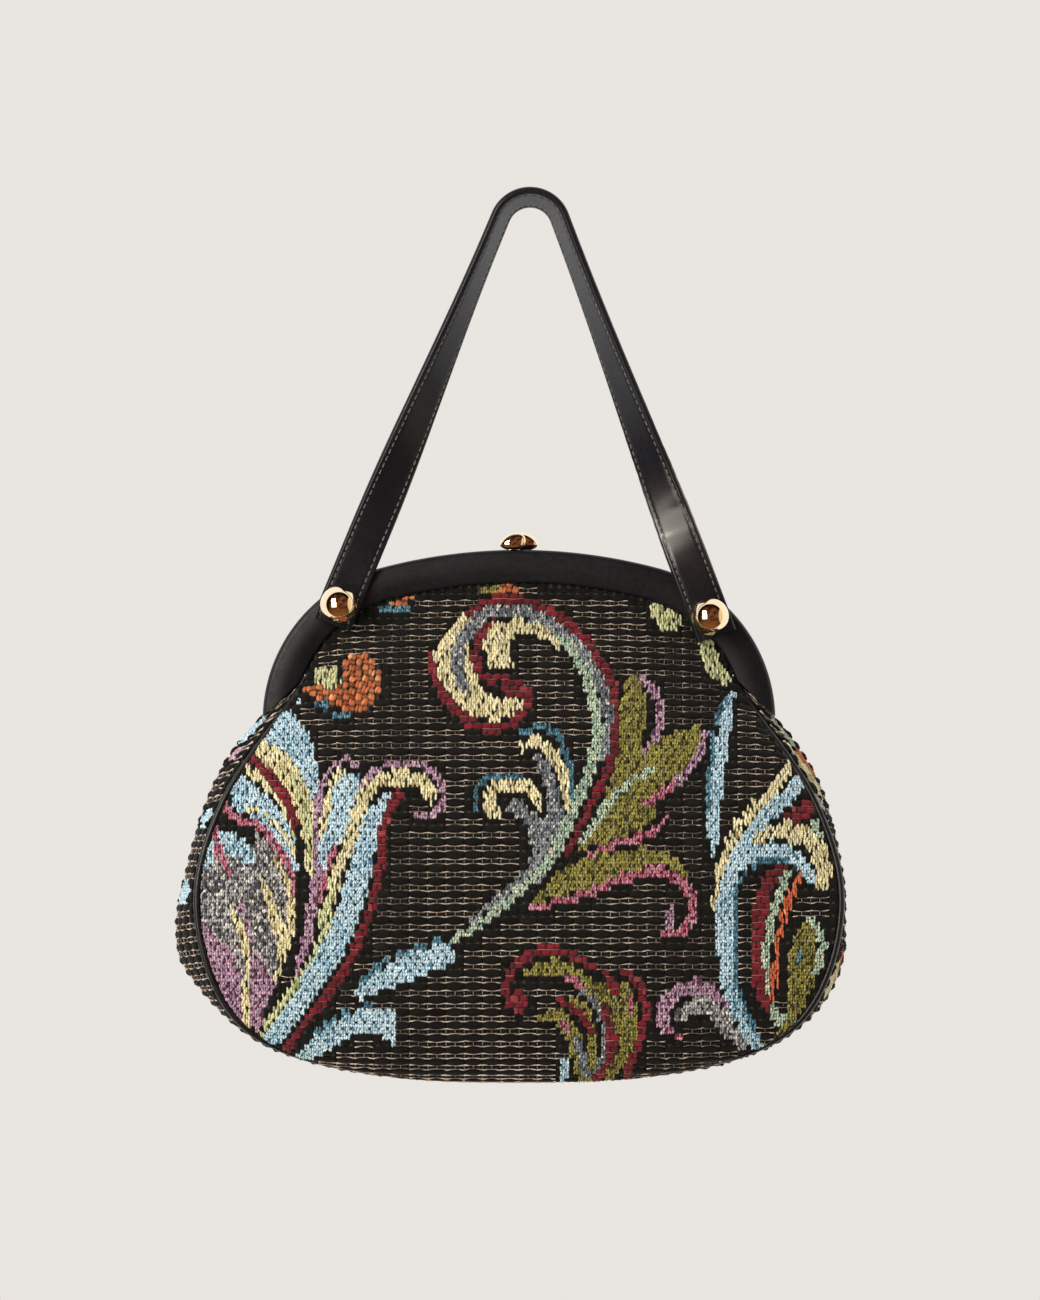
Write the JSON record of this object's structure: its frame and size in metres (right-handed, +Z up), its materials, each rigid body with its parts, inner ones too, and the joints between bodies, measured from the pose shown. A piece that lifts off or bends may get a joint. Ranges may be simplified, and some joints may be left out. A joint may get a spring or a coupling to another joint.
{
  "type": "tapestry frame handbag",
  "caption": "Soft tapestry handbag hung by a flat leather strap, its rounded body gathered into an arched leather-covered frame that closes with a kiss-lock clasp.",
  "frame": {"origin": "under the crest of the strap, at the middle of its width, where the bag hangs on a rod", "axes": "+Z up, the front faces -Y, +X to the right seen from the front"},
  "size_m": [0.3035, 0.0947, 0.4055],
  "materials": {
    "tapestry": "thick woven tapestry with a raised brick-like surface, warm black ground with cream, blue, olive and burgundy scrollwork",
    "black_leather": "smooth black leather with a soft sheen, finely grained",
    "pale_gold": "polished pale gold plating",
    "hinge_steel": "plain steel pin, hidden in the frame"
  },
  "bodies": {
    "root": {"frame_front": "black_leather", "frame_back": "black_leather", "hinge_pin_left": "hinge_steel", "hinge_pin_right": "hinge_steel", "front_panel": "tapestry", "back_panel": "tapestry", "gusset": "tapestry", "piping_front": "black_leather", "piping_back": "black_leather", "strap": "black_leather", "stud_left": "pale_gold", "stud_right": "pale_gold", "clasp_front": "pale_gold", "clasp_back": "pale_gold"}
  },
  "joints": []
}
